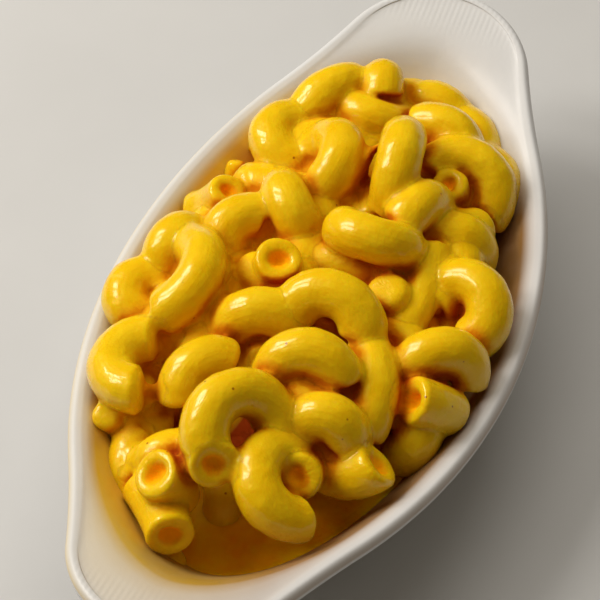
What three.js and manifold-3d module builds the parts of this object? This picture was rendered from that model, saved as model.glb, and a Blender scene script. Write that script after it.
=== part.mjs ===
// Mac and cheese in an oval stoneware gratin dish, as a three.js scene graph.
// Millimetres, +Z up. The dish's length runs along X, and the origin is the middle of its foot.
// Three solids: the dish, the pool of cheese sauce in it, and the heap of elbow macaroni on the sauce.

import * as THREE from 'three';
import { mergeVertices } from 'three/addons/utils/BufferGeometryUtils.js';
import Module from 'manifold-3d';

const wasm = await Module();
wasm.setup();

const GAP = 0.3; // between solids that touch
const MERGE_DISTANCE = 1e-4;

// Dish: its rim seen from above is a side arc and a tighter end arc, joined by a hollow curve.
const DISH_LENGTH = 190;
const DISH_WIDTH = 94;
const RIM_HEIGHT = 30; // half way along the sides
const TIP_RISE = 11.4; // how much higher the two tips stand
const SIDE_RADIUS = 124;
const WAIST_RADIUS = 230;
const END_RADIUS = 24;
const POINTS_PER_QUARTER = 14;
const OVAL_POWER = 1.8; // the basin's plan is a little more pointed than an ellipse

// Sauce and heap
const SAUCE_LEVEL = 17;
const CORE_MIDDLE_X = 5;
const CORE_HALF_LENGTH = 63;
const CORE_HALF_WIDTH = 35;
const CORE_HEIGHT = 21;
const CORE_FULLNESS = 0.7; // below 1 gives the mound steeper sides
const CORE_RINGS = 5;
const CORE_TOP_ANGLE = 88; // the top ring stops just short of the peak
const CORE_SIDES = 32;

// Macaroni: a round tube bent into part of a circle
const TUBE_RADIUS = 5.15;
const TUBE_UNEVENNESS = 0.25; // each elbow's tube is this much thicker or thinner at most
const UNEVENNESS_STEP = 2.4;
const TUBE_SIDES = 8;
const BORE_RADIUS = 2.2;
const BORE_DEPTH = 4;
const BORE_SIDES = 6;
const BORE_PAST_END = 1;
const DEGREES_PER_STEP = 30;
const END_SLANT = 0.02; // the outer side of the bend is cut longer than the inner side
const BENDS = {
  loop: { radius: 6.6, sweep: 235 },
  curl: { radius: 6, sweep: 190 },
  hook: { radius: 8.5, sweep: 165 },
  bow: { radius: 9, sweep: 125 },
  long: { radius: 13, sweep: 90 },
  bit: { radius: 8, sweep: 75 },
};

// Elbows that show their back. Each row has the kind of bend, the centre of the bend, where its
// back points (degrees from +X), how far the back is tipped up, and the roll about that direction.
const ARCHES = [
  ['hook', -44, -1, 41, 50, 10, 15],
  ['curl', -29, -11, 45, 15, 25, 0],
  ['curl', -13, -9, 42, 5, 12, 0],
  ['hook', -11, 30, 42, -78, 12, 0],
  ['curl', -3, 29, 37, 70, 15, 0],
  ['curl', -15, 32, 34, 112, 0, 0],
  ['loop', -32, 27, 35, 118, 5, 0],
  ['curl', -32, 13, 37, 60, 15, 0],
  ['curl', -19, 5, 37, 20, 35, 0],
  ['curl', 3, 23, 39, -5, 20, 0],
  ['curl', 12, 13, 39, 10, 30, 0],
  ['curl', 27, 9, 43, -30, 8, 0],
  ['curl', 38, 20, 38, 100, 5, 0],
  ['bow', 47, 9, 39, 60, 15, 0],
  ['curl', 54, 10, 36, -10, 25, 0],
  ['curl', 46, 0, 34, 40, 20, 0],
  ['long', 36, -16, 41, 125, 0, -35],
  ['curl', 57, -7, 33, 15, 20, 0],
  ['curl', 48, -12, 36, 10, 15, 0],
  ['curl', 37, -19, 37, -28, 10, 0],
  ['curl', 25, -22, 32, 0, 20, 0],
  ['long', 17, -7, 32, 202, 60, -25],
  ['bit', 18, -19, 31, 202, 50, 68],
  ['curl', 7, -31, 36, -68, 5, 0],
  ['curl', -13, -33, 36, -12, 10, 0],
  ['bit', -23, -31, 24, 202, 50, 78],
  ['bow', -36, -19, 36, -158, 0, 30],
  ['loop', -51, -14, 37, 114, 5, -25],
  ['bow', -50, 15, 26, 112, 0, 0],
  ['bit', -54, 16, 31, 22, 30, 0],
  ['curl', -54, 9, 23, 180, 0, 0],
  ['bit', -45, 4, 14, 202, 40, 90],
  ['curl', -38, -15, 40, -15, 10, 0],
  ['hook', -24, -15, 37, -68, 10, 0],
  ['bit', 11, -3, 31, 202, 50, -15],
  ['bit', 24, -11, 37, 202, 60, 45],
];

// Elbows that show an open end. Each row has the kind of bend, the middle of the open end, the
// way that end looks (degrees from +X, then degrees up), and the roll of the bend behind it.
const OPEN_ENDS = [
  ['bit', -54, 1, 42, 202, 45, 60],
  ['bow', -2, 8, 43, 205, 45, 0],
  ['bow', 20, 29, 36, -16, 60, 180],
  ['bit', 36, -18, 39, 202, 50, 0],
  ['bow', -1, -18, 42, 60, 70, 180],
  ['bit', -24, -31, 40, 143, 38, -90],
  ['bow', -58, 12, 36, 60, 70, 0],
  ['bow', -66, 6, 28, 225, 35, 0],
  ['bit', -43, 29, 29, 150, 50, 0],
];

// Elbows low down round the far end of the heap, one at each of these headings
const FAR_HEADINGS = [-42, -22, 0, 25, 48];
const FAR_HALF_LENGTH = 50;
const FAR_HALF_WIDTH = 27;
const FAR_HEIGHT = 26;
const FAR_TIP = 20;

// The room for the heap runs out past the dish above the rim, up to this height.
const ROOM_OVERHANG = 60;
const ROOM_TOP = 80;

const radians = THREE.MathUtils.degToRad;

// A closed three.js mesh as a manifold-3d solid, and back.
function toSolid(geometry) {
  geometry.deleteAttribute('normal');
  geometry.deleteAttribute('uv');
  const merged = mergeVertices(geometry, MERGE_DISTANCE);
  const corners = merged.index.array;
  const triVerts = [];
  for (let i = 0; i < corners.length; i += 3) {
    const [a, b, c] = corners.slice(i, i + 3);
    if (a !== b && b !== c && c !== a) triVerts.push(a, b, c);
  }
  return new wasm.Manifold(new wasm.Mesh({
    numProp: 3,
    vertProperties: new Float32Array(merged.attributes.position.array),
    triVerts: new Uint32Array(triVerts),
  }));
}

function toMesh(name, solid, material) {
  const { numProp, vertProperties, triVerts } = solid.getMesh();
  const geometry = new THREE.BufferGeometry();
  geometry.setAttribute('position', new THREE.BufferAttribute(vertProperties, numProp));
  geometry.setIndex(new THREE.BufferAttribute(triVerts, 1));
  const mesh = new THREE.Mesh(geometry, material);
  mesh.name = name;
  return mesh;
}

// The rim's plan: an even run of points round it, counter-clockwise from the +X tip.
function rimPlan() {
  const end = new THREE.Vector2(DISH_LENGTH / 2 - END_RADIUS, 0);
  const side = new THREE.Vector2(0, DISH_WIDTH / 2 - SIDE_RADIUS);
  const waist = waistCentre(end, side);
  const fromEnd = waist.clone().sub(end).angle();
  const fromSide = waist.clone().sub(side).angle();
  const path = new THREE.Path();
  path.absarc(end.x, end.y, END_RADIUS, 0, fromEnd, false);
  path.absarc(waist.x, waist.y, WAIST_RADIUS, fromEnd + Math.PI, fromSide + Math.PI, true);
  path.absarc(side.x, side.y, SIDE_RADIUS, fromSide, Math.PI / 2, false);
  const quarter = path.getSpacedPoints(POINTS_PER_QUARTER);
  const plan = [];
  for (let i = 0; i < 4 * POINTS_PER_QUARTER; i++) {
    const turn = Math.floor(i / POINTS_PER_QUARTER);
    const step = i % POINTS_PER_QUARTER;
    const point = quarter[turn % 2 === 0 ? step : POINTS_PER_QUARTER - step];
    plan.push(new THREE.Vector2(
      point.x * (turn === 1 || turn === 2 ? -1 : 1),
      point.y * (turn >= 2 ? -1 : 1),
    ));
  }
  return plan;
}

// The hollow curve touches the end arc and the side arc from outside.
function waistCentre(end, side) {
  const toEnd = END_RADIUS + WAIST_RADIUS;
  const toSide = SIDE_RADIUS + WAIST_RADIUS;
  const apart = end.distanceTo(side);
  const along = (toEnd ** 2 - toSide ** 2 + apart ** 2) / (2 * apart);
  const across = Math.sqrt(toEnd ** 2 - along ** 2);
  const direction = side.clone().sub(end).divideScalar(apart);
  const sideways = new THREE.Vector2(direction.y, -direction.x);
  return end.clone().addScaledVector(direction, along).addScaledVector(sideways, across);
}

const PLAN = rimPlan();

// One level of the dish. A lip ring follows the rim's plan, set in by some millimetres. A body
// ring is an oval of the given half sizes. Both take a share of the rise towards the tips.
function lipRing({ inset, z }) {
  return PLAN.map((point, i) => {
    const before = PLAN[(i + PLAN.length - 1) % PLAN.length];
    const after = PLAN[(i + 1) % PLAN.length];
    const inward = new THREE.Vector2(before.y - after.y, after.x - before.x).normalize();
    const moved = point.clone().addScaledVector(inward, inset);
    return new THREE.Vector3(moved.x, moved.y, z + tipRise(moved.x));
  });
}

function bodyRing({ halfLength, halfWidth, z, rise = 0 }) {
  return PLAN.map((point) => {
    const angle = Math.atan2(point.y / DISH_WIDTH, point.x / DISH_LENGTH);
    const x = ovalSide(Math.cos(angle)) * halfLength;
    const y = ovalSide(Math.sin(angle)) * halfWidth;
    return new THREE.Vector3(x, y, z + rise * tipRise(x));
  });
}

function ovalSide(share) {
  return Math.sign(share) * Math.abs(share) ** (2 / OVAL_POWER);
}

function tipRise(x) {
  return TIP_RISE * (x / (DISH_LENGTH / 2)) ** 2;
}

// A lathe's mesh, with the circle at each level of its profile moved out to that level's ring.
function ringSolid(rings, middleX = 0) {
  const levels = [rings[0].map(() => new THREE.Vector3(middleX, 0, rings[0][0].z))];
  levels.push(...rings);
  levels.push(rings[0].map(() => new THREE.Vector3(middleX, 0, rings.at(-1)[0].z)));
  const profile = levels.map((_, i) => new THREE.Vector2(1, i));
  const sides = rings[0].length;
  const geometry = new THREE.LatheGeometry(profile, sides);
  const position = geometry.attributes.position;
  for (let i = 0; i <= sides; i++) {
    levels.forEach((ring, j) => {
      position.setXYZ(i * levels.length + j, ...ring[i % sides].toArray());
    });
  }
  return toSolid(geometry);
}

// The inside of the basin, from the floor up to the crease where the lip starts.
const INNER_WALL = [
  { halfLength: 48, halfWidth: 23.5, z: 4.5 },
  { halfLength: 57.5, halfWidth: 30, z: 8 },
  { halfLength: 65, halfWidth: 35, z: SAUCE_LEVEL },
  { halfLength: 72.5, halfWidth: 39, z: 24, rise: 0.5 },
  { halfLength: 80, halfWidth: 42, z: RIM_HEIGHT - 2, rise: 1 },
];

const OUTER_WALL = [
  { halfLength: 57, halfWidth: 28, z: 0 },
  { halfLength: 59.5, halfWidth: 30, z: 1.5 },
  { halfLength: 69.5, halfWidth: 38.5, z: 13 },
  { halfLength: 78, halfWidth: 43, z: 21, rise: 0.5 },
];

const LIP_SHOULDER = RIM_HEIGHT - 1; // the lip's rounded top is above this

const LIP = [
  { inset: 1.8, z: RIM_HEIGHT - 5.5 },
  { inset: 0, z: RIM_HEIGHT - 2.5 },
  { inset: 0.5, z: RIM_HEIGHT - 0.9 },
  { inset: 1.8, z: RIM_HEIGHT },
  { inset: 3.4, z: RIM_HEIGHT - 0.5 },
];

function dishSolid() {
  return ringSolid([
    ...OUTER_WALL.map(bodyRing),
    ...LIP.map(lipRing),
    ...INNER_WALL.toReversed().map(bodyRing),
  ]);
}

// The basin's room, up to the sauce's surface.
function sauceSolid() {
  const wetted = INNER_WALL.filter((ring) => ring.z <= SAUCE_LEVEL).map((ring) => ({
    ...ring,
    halfLength: ring.halfLength - GAP,
    halfWidth: ring.halfWidth - GAP,
    z: Math.min(ring.z + GAP, SAUCE_LEVEL),
  }));
  return ringSolid(wetted.map(bodyRing));
}

// The room that the heap may fill: the basin above the sauce, and all that is above the lip.
function heapRoom() {
  const above = INNER_WALL.filter((ring) => ring.z >= SAUCE_LEVEL).map((ring) => ({
    ...ring,
    halfLength: ring.halfLength - GAP,
    halfWidth: ring.halfWidth - GAP,
    z: ring.z + GAP,
  }));
  const overLip = LIP.toReversed().map((ring) => ({ inset: ring.inset - GAP, z: ring.z + GAP }));
  const topOfLip = overLip.filter((ring) => ring.z > LIP_SHOULDER);
  return ringSolid([
    ...above.map(bodyRing),
    ...topOfLip.map(lipRing),
    ...[RIM_HEIGHT, ROOM_TOP].map((z) => lipRing({ inset: -ROOM_OVERHANG, z })),
  ]);
}

// The middle of the heap: a rounded mound of sauce and macaroni that stands on the sauce.
function coreSolid() {
  const rings = [];
  for (let i = 0; i <= CORE_RINGS; i++) {
    const climb = radians((CORE_TOP_ANGLE * i) / CORE_RINGS);
    const share = Math.cos(climb) ** CORE_FULLNESS;
    rings.push(coreRing(share, SAUCE_LEVEL + GAP + CORE_HEIGHT * Math.sin(climb)));
  }
  return ringSolid(rings, CORE_MIDDLE_X);
}

function coreRing(share, z) {
  return Array.from({ length: CORE_SIDES }, (_, i) => {
    const angle = (2 * Math.PI * i) / CORE_SIDES;
    return new THREE.Vector3(
      CORE_MIDDLE_X + CORE_HALF_LENGTH * share * Math.cos(angle),
      CORE_HALF_WIDTH * share * Math.sin(angle),
      z,
    );
  });
}

// Part of a circle in the XY plane about the origin, its middle on +X.
class Bend extends THREE.Curve {
  constructor(radius, from, to) {
    super();
    this.radius = radius;
    this.from = from;
    this.to = to;
  }

  getPoint(t, target = new THREE.Vector3()) {
    const angle = THREE.MathUtils.lerp(this.from, this.to, t);
    return target.set(this.radius * Math.cos(angle), this.radius * Math.sin(angle), 0);
  }
}

function bentTube(bendRadius, from, to, tubeRadius, sides) {
  const section = new THREE.Shape(Array.from({ length: sides }, (_, i) => {
    const angle = (2 * Math.PI * (i + 0.5)) / sides;
    return new THREE.Vector2(tubeRadius * Math.cos(angle), tubeRadius * Math.sin(angle));
  }));
  const steps = Math.max(1, Math.round(Math.abs(to - from) / radians(DEGREES_PER_STEP)));
  const geometry = new THREE.ExtrudeGeometry(section, {
    steps,
    extrudePath: new Bend(bendRadius, from, to),
  });
  slantEnds(geometry, bendRadius);
  return toSolid(geometry);
}

// Turns each point about the bend's centre by more on the outer side than on the inner side.
function slantEnds(geometry, bendRadius) {
  const position = geometry.attributes.position;
  const point = new THREE.Vector3();
  for (let i = 0; i < position.count; i++) {
    point.fromBufferAttribute(position, i);
    const distance = Math.hypot(point.x, point.y);
    const angle = Math.atan2(point.y, point.x) * (1 + END_SLANT * (distance - bendRadius));
    position.setXYZ(i, distance * Math.cos(angle), distance * Math.sin(angle), point.z);
  }
}

// One elbow, lying in the XY plane with its back on +X, with a blind bore in each end.
function elbow({ radius, sweep }, tubeRadius) {
  const half = radians(sweep / 2);
  const depth = BORE_DEPTH / radius;
  const past = BORE_PAST_END / radius;
  const tube = bentTube(radius, -half, half, tubeRadius, TUBE_SIDES);
  const bores = [1, -1].map((end) => bentTube(
    radius, end * (half - depth), end * (half + past), BORE_RADIUS, BORE_SIDES,
  ));
  return tube.subtract(bores[0]).subtract(bores[1]);
}

function archMatrix(x, y, z, heading, tip, roll) {
  const turn = new THREE.Euler(radians(roll), radians(-tip), radians(heading), 'ZYX');
  return new THREE.Matrix4().makeRotationFromEuler(turn).setPosition(x, y, z);
}

// The elbow's end at +Y is put at the given point, looking the given way.
function openEndMatrix({ radius, sweep }, x, y, z, heading, rise, roll) {
  const half = radians(sweep / 2);
  const looks = new THREE.Vector3(1, 0, 0)
    .applyEuler(new THREE.Euler(0, radians(-rise), radians(heading), 'ZYX'));
  const back = new THREE.Vector3(0, 0, 1).projectOnPlane(looks).normalize();
  back.applyAxisAngle(looks, radians(roll));
  const xAxis = back.clone().multiplyScalar(Math.cos(half)).addScaledVector(looks, -Math.sin(half));
  const yAxis = back.clone().multiplyScalar(Math.sin(half)).addScaledVector(looks, Math.cos(half));
  const zAxis = xAxis.clone().cross(yAxis);
  const centre = new THREE.Vector3(x, y, z).addScaledVector(back, -radius);
  return new THREE.Matrix4().makeBasis(xAxis, yAxis, zAxis).setPosition(centre);
}

function farEndMatrix(heading) {
  const x = FAR_HALF_LENGTH * Math.cos(radians(heading));
  const y = FAR_HALF_WIDTH * Math.sin(radians(heading));
  return archMatrix(x + CORE_MIDDLE_X, y, FAR_HEIGHT, heading, FAR_TIP, 0);
}

function heapSolid() {
  const placed = [
    ...ARCHES.map(([kind, ...place]) => [kind, archMatrix(...place)]),
    ...OPEN_ENDS.map(([kind, ...place]) => [kind, openEndMatrix(BENDS[kind], ...place)]),
    ...FAR_HEADINGS.map((heading) => ['bow', farEndMatrix(heading)]),
  ];
  let heap = coreSolid();
  placed.forEach(([kind, matrix], i) => {
    const tubeRadius = TUBE_RADIUS + TUBE_UNEVENNESS * Math.sin(UNEVENNESS_STEP * i);
    heap = heap.add(elbow(BENDS[kind], tubeRadius).transform(matrix.elements));
  });
  return largestPiece(heap.intersect(heapRoom()));
}

// Sealed hollows come out of the split with a negative volume and are left out, as loose scraps are.
function largestPiece(solid) {
  return solid.decompose().reduce((a, b) => (a.volume() > b.volume() ? a : b));
}

const glaze = new THREE.MeshStandardMaterial({ color: '#d9d4cc', roughness: 0.25, metalness: 0 });
const sauce = new THREE.MeshStandardMaterial({ color: '#c98a10', roughness: 0.3, metalness: 0 });
const pasta = new THREE.MeshStandardMaterial({ color: '#f0c41e', roughness: 0.3, metalness: 0 });

const macAndCheese = new THREE.Group();
macAndCheese.add(toMesh('dish', dishSolid(), glaze));
macAndCheese.add(toMesh('cheese_sauce', sauceSolid(), sauce));
macAndCheese.add(toMesh('macaroni', heapSolid(), pasta));

export default macAndCheese;
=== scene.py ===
# Mac and cheese in an oval stoneware gratin dish: the finish of every surface.
import math
import random

import bmesh
import bpy
import numpy as np
from mathutils import Matrix, Vector
from mathutils.bvhtree import BVHTree


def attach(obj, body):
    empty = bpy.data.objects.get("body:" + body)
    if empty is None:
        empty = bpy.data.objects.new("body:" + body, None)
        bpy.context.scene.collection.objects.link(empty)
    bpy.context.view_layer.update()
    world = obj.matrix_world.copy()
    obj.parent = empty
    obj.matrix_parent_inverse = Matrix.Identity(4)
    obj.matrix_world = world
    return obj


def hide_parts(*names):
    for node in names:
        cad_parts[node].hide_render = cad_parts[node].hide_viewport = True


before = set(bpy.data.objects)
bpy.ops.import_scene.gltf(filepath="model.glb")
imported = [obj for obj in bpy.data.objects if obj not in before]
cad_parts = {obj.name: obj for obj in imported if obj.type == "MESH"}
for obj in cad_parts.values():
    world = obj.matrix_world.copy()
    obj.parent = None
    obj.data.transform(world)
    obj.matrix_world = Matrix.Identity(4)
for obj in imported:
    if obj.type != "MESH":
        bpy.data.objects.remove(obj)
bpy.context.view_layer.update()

MM = 0.001

# ---------------------------------------------------------------- camera

CAMERA_AZIMUTH = -68.2  # degrees, 0 looks along +Y
CAMERA_ELEVATION = 51.3
CAMERA_DISTANCE = 0.475
CAMERA_TARGET = Vector((-0.0001, 0.004, 0.030))
SENSOR_WIDTH = 36
LENS = 129.24


def place_camera():
    azimuth, elevation = math.radians(CAMERA_AZIMUTH), math.radians(CAMERA_ELEVATION)
    back = Vector((
        math.sin(azimuth) * math.cos(elevation),
        -math.cos(azimuth) * math.cos(elevation),
        math.sin(elevation),
    ))
    data = bpy.data.cameras.new("camera")
    data.sensor_width = SENSOR_WIDTH
    data.lens = LENS
    camera = bpy.data.objects.new("camera", data)
    bpy.context.scene.collection.objects.link(camera)
    camera.location = CAMERA_TARGET + back * CAMERA_DISTANCE
    camera.rotation_mode = "QUATERNION"
    camera.rotation_quaternion = (-back).to_track_quat("-Z", "Y")
    bpy.context.scene.camera = camera


place_camera()

# ---------------------------------------------------------------- modelling helpers


def deselect_all():
    if bpy.context.object and bpy.context.object.mode != "OBJECT":
        bpy.ops.object.mode_set(mode="OBJECT")
    bpy.ops.object.select_all(action="DESELECT")


def pick(piece):
    deselect_all()
    piece.select_set(True)
    bpy.context.view_layer.objects.active = piece


def apply_modifier(piece, kind, **settings):
    pick(piece)
    modifier = piece.modifiers.new(kind.lower(), kind)
    for key, value in settings.items():
        setattr(modifier, key, value)
    bpy.ops.object.modifier_apply(modifier=modifier.name)


def settle(piece):
    """Puts the piece's place into its mesh."""
    pick(piece)
    bpy.ops.object.transform_apply(location=True, rotation=True, scale=True)


def join(pieces, name):
    deselect_all()
    for piece in pieces:
        piece.select_set(True)
    bpy.context.view_layer.objects.active = pieces[0]
    bpy.ops.object.join()
    pieces[0].name = pieces[0].data.name = name
    return pieces[0]


def keep_largest_part(piece, name):
    """Drops loose scraps and the shells of sealed hollows."""
    pick(piece)
    bpy.ops.mesh.separate(type="LOOSE")
    parts = list(bpy.context.selected_objects)
    parts.sort(key=lambda part: len(part.data.vertices), reverse=True)
    for scrap in parts[1:]:
        bpy.data.objects.remove(scrap)
    parts[0].name = parts[0].data.name = name
    return parts[0]


def ring_stack(name, rings):
    """A closed shell through a stack of rings, each a list of points with the same stations round it."""
    deselect_all()
    bpy.ops.mesh.primitive_circle_add(vertices=len(rings[0]), radius=MM)
    piece = bpy.context.object
    piece.name = piece.data.name = name
    bpy.ops.object.mode_set(mode="EDIT")
    mesh = bmesh.from_edit_mesh(piece.data)
    station = mesh.verts.layers.int.new("station")
    mesh.verts.ensure_lookup_table()
    for i, vertex in enumerate(mesh.verts):
        vertex[station] = i
        vertex.co = rings[0][i]
    bmesh.update_edit_mesh(piece.data)
    bpy.ops.mesh.select_all(action="SELECT")
    for ring in rings[1:]:
        bpy.ops.mesh.extrude_edges_move()
        mesh = bmesh.from_edit_mesh(piece.data)
        station = mesh.verts.layers.int["station"]
        for vertex in mesh.verts:
            if vertex.select:
                vertex.co = ring[vertex[station]]
        bmesh.update_edit_mesh(piece.data)
    bpy.ops.mesh.select_all(action="DESELECT")
    bpy.ops.mesh.select_non_manifold()
    bpy.ops.mesh.edge_face_add()
    bpy.ops.mesh.select_all(action="SELECT")
    bpy.ops.mesh.normals_make_consistent(inside=False)
    bpy.ops.object.mode_set(mode="OBJECT")
    piece.data.attributes.remove(piece.data.attributes["station"])
    bpy.ops.object.shade_smooth()
    return piece


# ---------------------------------------------------------------- dish

DISH_LENGTH = 190 * MM
DISH_WIDTH = 94 * MM
TIP_RISE = 11.4 * MM
SIDE_RADIUS = 124 * MM
WAIST_RADIUS = 230 * MM
END_RADIUS = 24 * MM
OVAL_POWER = 1.8
SAUCE_LEVEL = 17 * MM
ARC_STEPS = 200
STATIONS_PER_QUARTER = 90
STEPS_PER_LEVEL = 4

# Half length, half width and height in millimetres, and the share of the rise towards the tips.
OUTER_WALL = [(40, 16, 0.9, 0), (54, 25.5, 0.9, 0), (56, 27, 0.1, 0), (57.5, 28.4, 0, 0), (59.5, 30, 1.5, 0),
              (69.5, 38.5, 13, 0), (78, 43, 21, 0.5)]
INNER_WALL = [(80, 42, 28, 1), (72.5, 39, 24, 0.5), (65, 35, 17, 0), (57.5, 30, 8, 0), (48, 23.5, 4.5, 0),
              (30, 12, 4.3, 0)]
# Inset from the rim's plan and height, in millimetres.
LIP = [(1.8, 24.5), (0.2, 27.0), (0, 28.2), (0.4, 29.3), (1.3, 30), (2.4, 29.9), (3.4, 29.5)]


def along(path, count):
    """Points an even distance apart along a path of points."""
    lengths = [0]
    for a, b in zip(path, path[1:]):
        lengths.append(lengths[-1] + (b - a).length)
    points, at = [], 0
    for i in range(count + 1):
        goal = lengths[-1] * i / count
        while at < len(path) - 2 and lengths[at + 1] < goal:
            at += 1
        share = (goal - lengths[at]) / (lengths[at + 1] - lengths[at])
        points.append(path[at].lerp(path[at + 1], share))
    return points


def arc(centre, radius, start, end):
    return [
        centre + radius * Vector((math.cos(a), math.sin(a)))
        for a in (start + (end - start) * i / ARC_STEPS for i in range(ARC_STEPS + 1))
    ]


def rim_plan():
    """The rim seen from above: a tight end arc, a hollow waist and a long side arc in each quarter."""
    end = Vector((DISH_LENGTH / 2 - END_RADIUS, 0))
    side = Vector((0, DISH_WIDTH / 2 - SIDE_RADIUS))
    to_end, to_side, apart = END_RADIUS + WAIST_RADIUS, SIDE_RADIUS + WAIST_RADIUS, (side - end).length
    forward = (to_end**2 - to_side**2 + apart**2) / (2 * apart)
    across = math.sqrt(to_end**2 - forward**2)
    direction = (side - end) / apart
    waist = end + direction * forward + Vector((direction.y, -direction.x)) * across
    from_end = math.atan2(waist.y - end.y, waist.x - end.x)
    from_side = math.atan2(waist.y - side.y, waist.x - side.x)
    path = arc(end, END_RADIUS, 0, from_end)
    path += arc(waist, WAIST_RADIUS, from_end + math.pi, from_side + math.pi)[1:]
    path += arc(side, SIDE_RADIUS, from_side, math.pi / 2)[1:]
    quarter = along(path, STATIONS_PER_QUARTER)
    left = [Vector((-p.x, p.y)) for p in reversed(quarter)][1:]
    half = quarter + left
    return half[:-1] + [-p for p in half[:-1]]


PLAN = rim_plan()


def tip_rise(x):
    return TIP_RISE * (x / (DISH_LENGTH / 2)) ** 2


def lip_ring(inset, z):
    """One level of the lip: the rim's plan moved in, its tips raised."""
    ring = []
    for i, point in enumerate(PLAN):
        run = PLAN[(i + 1) % len(PLAN)] - PLAN[i - 1]
        moved = point + Vector((-run.y, run.x)).normalized() * inset * MM
        ring.append(Vector((moved.x, moved.y, z * MM + tip_rise(moved.x))))
    return ring


def oval_side(share):
    return math.copysign(abs(share) ** (2 / OVAL_POWER), share)


def wall_ring(half_length, half_width, z, rise):
    """One level of a wall: an oval a little slimmer than an ellipse, with a share of the tips' rise."""
    ring = []
    for point in PLAN:
        angle = math.atan2(point.y / DISH_WIDTH, point.x / DISH_LENGTH)
        x = oval_side(math.cos(angle)) * half_length * MM
        y = oval_side(math.sin(angle)) * half_width * MM
        ring.append(Vector((x, y, z * MM + rise * tip_rise(x))))
    return ring


def smooth_between(rings, steps):
    """More rings between those given, on a smooth curve through each station's points."""
    smooth = []
    for i in range(len(rings) - 1):
        before, a, b, after = rings[max(i - 1, 0)], rings[i], rings[i + 1], rings[min(i + 2, len(rings) - 1)]
        for k in range(steps):
            t = k / steps
            smooth.append([
                catmull(p0, p1, p2, p3, t) for p0, p1, p2, p3 in zip(before, a, b, after)
            ])
    smooth.append(rings[-1])
    return smooth


def catmull(p0, p1, p2, p3, t):
    """The point a share t of the way from p1 to p2, on a curve that heads from p0 and on to p3."""
    return 0.5 * (
        2 * p1 + (p2 - p0) * t + (2 * p0 - 5 * p1 + 4 * p2 - p3) * t**2 + (3 * p1 - 3 * p2 + p3 - p0) * t**3
    )


def make_dish():
    rings = [wall_ring(*level) for level in OUTER_WALL]
    rings += [lip_ring(*level) for level in LIP]
    rings += [wall_ring(*level) for level in INNER_WALL]
    return ring_stack("dish_glazed", smooth_between(rings, STEPS_PER_LEVEL))


# ---------------------------------------------------------------- heap

TUBE_RADIUS = 5.25
INWARD = 0.45  # how far a tube sits inside the bend through its three points
LEAST_BEND = 2
BORE_SHARE = 0.64  # of the tube's radius, at the top of its rounded edge
BORE_SQUASH = 0.78
BORE_DEPTH = 2.4  # down to the sauce inside
BORE_EDGE = 1.1
BORE_TAPER = 0.3
TUBE_SIDES = 24
DEGREES_PER_STEP = 8
LEAST_STEPS = 6
END_ROUNDING = 0.8
CLOSED_ROUNDING = 2.4
ROUNDING_SEGMENTS = 4
FILLET = 0.15 * MM  # how far sauce fills the creases between the elbows
VOXEL = 0.45 * MM
SAUCE_VOXEL = 0.9 * MM
# Sauce fills the narrow gaps: half the width of those it fills, and how far it stays below the elbows' backs.
SAUCE_REACH, SAUCE_DEPTH = 1.3 * MM, 2.8 * MM
RICH_REACH, RICH_DEPTH = 2.1 * MM, 2.1 * MM  # on the left side, where more of it has gathered
RICH_FROM = 9 * MM
RICH_FACING = (0.25, 1, 0)
SAUCE_STEPS = 3
SMOOTH_FACTOR = 0.5
SAUCE_SMOOTHING = 2
HEAP_SMOOTHING = 4
HEAP_TRIANGLES = 190_000
LUMPS = [(9 * MM, 0.7 * MM), (2.5 * MM, 0.22 * MM)]  # size and height of the unevenness in the coat

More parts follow.
